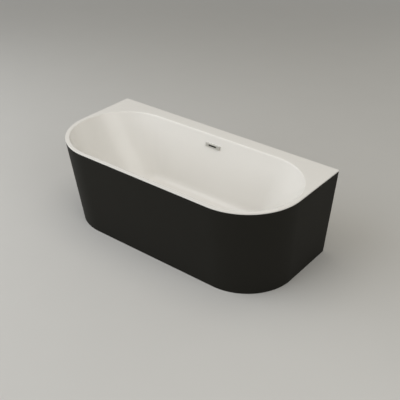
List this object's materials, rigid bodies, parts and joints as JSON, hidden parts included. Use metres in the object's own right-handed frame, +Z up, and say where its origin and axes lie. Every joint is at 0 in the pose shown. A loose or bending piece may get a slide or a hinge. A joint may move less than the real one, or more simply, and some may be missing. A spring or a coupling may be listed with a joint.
{
  "type": "freestanding bathtub",
  "caption": "Back-to-wall bathtub with a white sloping basin, dark leaning skirt, slotted overflow, push-open waste, steel cradle and levelling feet.",
  "frame": {"origin": "on the floor, under the middle of the bath's bounding box", "axes": "+X along the bath, +Y towards the wall it backs on to, +Z up"},
  "size_m": [1.7, 0.8, 0.6],
  "materials": {
    "acrylic_white": "gloss white sanitary acrylic",
    "glassfibre": "rough sprayed glass-fibre resin",
    "chipboard": "raw board",
    "plywood": "raw birch plywood",
    "acrylic_anthracite": "satin anthracite",
    "galvanised_steel": "galvanised",
    "zinc_fasteners": "bright zinc plate",
    "foot_plastic": "moulded black",
    "chrome": "polished chrome",
    "stainless_steel": "plain stainless",
    "grey_moulding": "moulded grey",
    "white_moulding": "moulded white",
    "nut_plastic": "moulded dark grey",
    "pipe_plastic": "extruded, convoluted",
    "rubber": "matt black"
  },
  "bodies": {
    "bath": {"tub_shell": "acrylic_white", "glassfibre_layer": "glassfibre", "base_board": "chipboard", "rear_rim_batten": "plywood", "corner_gusset_left": "plywood", "corner_gusset_right": "plywood", "skirt_batten_front": "plywood", "skirt_batten_left": "plywood", "skirt_batten_right": "plywood", "skirt_panel": "acrylic_anthracite", "frame_rail_front": "galvanised_steel", "frame_rail_rear": "galvanised_steel", "frame_crossbar_1": "galvanised_steel", "frame_crossbar_2": "galvanised_steel", "frame_crossbar_3": "galvanised_steel", "frame_crossbar_4": "galvanised_steel", "skirt_bracket_front_left": "galvanised_steel", "skirt_bracket_front_right": "galvanised_steel", "skirt_bracket_left": "galvanised_steel", "skirt_bracket_right": "galvanised_steel", "wall_bracket_left": "galvanised_steel", "wall_bracket_right": "galvanised_steel", "frame_bolts": "zinc_fasteners", "board_screws": "zinc_fasteners", "foot_nuts": "zinc_fasteners", "wall_bracket_screws": "zinc_fasteners", "skirt_bracket_screws": "zinc_fasteners", "overflow_cover": "chrome", "waste_flange": "chrome", "overflow_screws": "stainless_steel", "plug_spring": "stainless_steel", "overflow_front_plate": "grey_moulding", "overflow_body": "grey_moulding", "plug_guide": "grey_moulding", "waste_body": "white_moulding", "overflow_pipe_nut_top": "nut_plastic", "overflow_pipe_nut_bottom": "nut_plastic", "trap_union_nut": "nut_plastic", "overflow_pipe": "pipe_plastic", "overflow_seal": "rubber", "waste_upper_seal": "rubber", "waste_lower_seal": "rubber"},
    "plug": {"plug_cap": "chrome", "plug_seal": "rubber", "plug_stem": "stainless_steel"},
    "trap": {"trap_body": "white_moulding", "trap_cap": "white_moulding", "trap_outlet_nut": "nut_plastic", "trap_outlet_pipe": "white_moulding"},
    "pad_front_left": {"foot_pad_front_left": "foot_plastic"},
    "stud_front_left": {"foot_stud_front_left": "zinc_fasteners"},
    "pad_front_centre": {"foot_pad_front_centre": "foot_plastic"},
    "stud_front_centre": {"foot_stud_front_centre": "zinc_fasteners"},
    "pad_front_right": {"foot_pad_front_right": "foot_plastic"},
    "stud_front_right": {"foot_stud_front_right": "zinc_fasteners"},
    "pad_rear_left": {"foot_pad_rear_left": "foot_plastic"},
    "stud_rear_left": {"foot_stud_rear_left": "zinc_fasteners"},
    "pad_rear_right": {"foot_pad_rear_right": "foot_plastic"},
    "stud_rear_right": {"foot_stud_rear_right": "zinc_fasteners"}
  },
  "joints": [
    {"name": "plug_press", "type": "slide", "parent": "bath", "child": "plug", "axis": [0, 0, 1], "range_m": [-0.009, 0], "stiffness_N_per_m": 400, "springref_m": 0.008, "deforming": ["plug_spring"]},
    {"name": "trap_swivel", "type": "hinge", "parent": "bath", "child": "trap", "pos_m": [0, -0.032, 0.09], "axis": [0, 0, 1], "range_deg": [-45, 45]},
    {"name": "foot_drop_front_left", "type": "slide", "parent": "bath", "child": "pad_front_left", "axis": [0, 0, 1], "range_m": [-0.015, 0]},
    {"name": "foot_turn_front_left", "type": "hinge", "parent": "pad_front_left", "child": "stud_front_left", "pos_m": [-0.62, -0.222, 0.014], "axis": [0, 0, 1], "range_deg": [-3086, 0]},
    {"name": "foot_drop_front_centre", "type": "slide", "parent": "bath", "child": "pad_front_centre", "axis": [0, 0, 1], "range_m": [-0.015, 0]},
    {"name": "foot_turn_front_centre", "type": "hinge", "parent": "pad_front_centre", "child": "stud_front_centre", "pos_m": [0, -0.222, 0.014], "axis": [0, 0, 1], "range_deg": [-3086, 0]},
    {"name": "foot_drop_front_right", "type": "slide", "parent": "bath", "child": "pad_front_right", "axis": [0, 0, 1], "range_m": [-0.015, 0]},
    {"name": "foot_turn_front_right", "type": "hinge", "parent": "pad_front_right", "child": "stud_front_right", "pos_m": [0.62, -0.222, 0.014], "axis": [0, 0, 1], "range_deg": [-3086, 0]},
    {"name": "foot_drop_rear_left", "type": "slide", "parent": "bath", "child": "pad_rear_left", "axis": [0, 0, 1], "range_m": [-0.015, 0]},
    {"name": "foot_turn_rear_left", "type": "hinge", "parent": "pad_rear_left", "child": "stud_rear_left", "pos_m": [-0.62, 0.158, 0.014], "axis": [0, 0, 1], "range_deg": [-3086, 0]},
    {"name": "foot_drop_rear_right", "type": "slide", "parent": "bath", "child": "pad_rear_right", "axis": [0, 0, 1], "range_m": [-0.015, 0]},
    {"name": "foot_turn_rear_right", "type": "hinge", "parent": "pad_rear_right", "child": "stud_rear_right", "pos_m": [0.62, 0.158, 0.014], "axis": [0, 0, 1], "range_deg": [-3086, 0]}
  ],
  "couplings": [
    {"joint": "foot_turn_front_left", "follows": "foot_drop_front_left", "rad_per_m": 3590.4},
    {"joint": "foot_turn_front_centre", "follows": "foot_drop_front_centre", "rad_per_m": 3590.4},
    {"joint": "foot_turn_front_right", "follows": "foot_drop_front_right", "rad_per_m": 3590.4},
    {"joint": "foot_turn_rear_left", "follows": "foot_drop_rear_left", "rad_per_m": 3590.4},
    {"joint": "foot_turn_rear_right", "follows": "foot_drop_rear_right", "rad_per_m": 3590.4}
  ]
}
